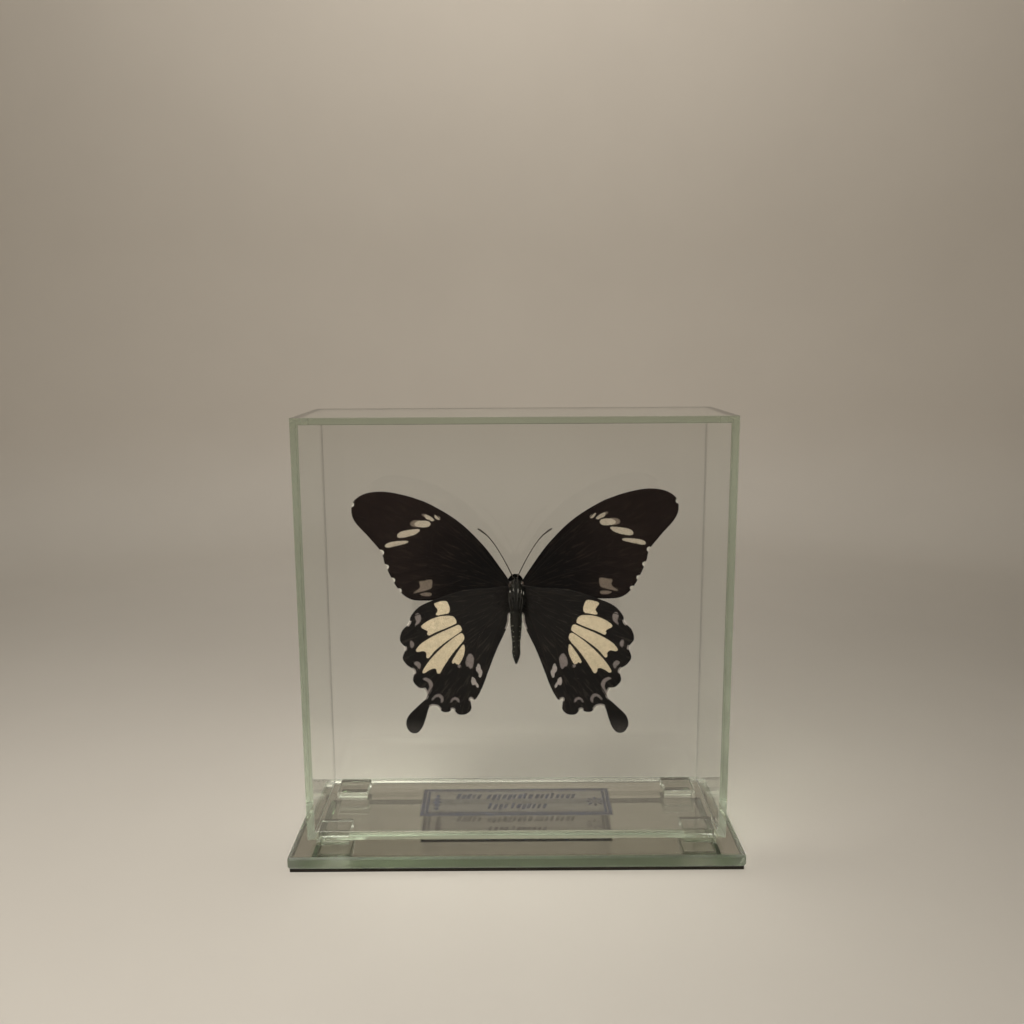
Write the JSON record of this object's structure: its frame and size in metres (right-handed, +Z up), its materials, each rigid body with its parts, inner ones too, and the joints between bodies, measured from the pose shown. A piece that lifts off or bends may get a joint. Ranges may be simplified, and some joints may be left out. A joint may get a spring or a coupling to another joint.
{
  "type": "mounted butterfly in glass case",
  "caption": "Set butterfly floating in a slim clear glass case that stands on small glass feet on a mirror plate.",
  "frame": {"origin": "centre of the mirror plate's underside", "axes": "+Z up; +X along the case's width, to the right of someone facing the specimen's underside; -Y is the side that shows the specimen's underside"},
  "size_m": [0.162, 0.063, 0.1597],
  "materials": {
    "case_glass": "clear soda-lime float glass, green in its edges",
    "foot_glass": "clear float glass with nipped, slightly chipped edges",
    "plate_glass": "clear float glass with ground edges, silvered on its back",
    "mirror_backing": "silver mirror coat, faced underneath with thin dark foam",
    "label_print": "clear film with dark blue print",
    "forewing_scales": "matte brown-black scales with cream spots and fine veins",
    "hindwing_scales": "matte grey-brown scales with cream patches and a pale fringe",
    "body_chitin": "dark hairy insect body with a greenish sheen",
    "clear_acrylic": "clear cast acrylic"
  },
  "bodies": {
    "root": {"plate_glass": "plate_glass", "plate_backing": "mirror_backing", "foot_front_left": "foot_glass", "foot_front_right": "foot_glass", "foot_back_left": "foot_glass", "foot_back_right": "foot_glass", "pane_front": "case_glass", "pane_back": "case_glass", "pane_left": "case_glass", "pane_right": "case_glass", "pane_bottom": "case_glass", "pane_top": "case_glass", "label_film": "label_print", "body": "body_chitin", "forewing_left": "forewing_scales", "forewing_right": "forewing_scales", "hindwing_left": "hindwing_scales", "hindwing_right": "hindwing_scales", "antenna_left": "body_chitin", "antenna_right": "body_chitin", "support_rod": "clear_acrylic", "support_pad": "clear_acrylic"}
  },
  "joints": []
}
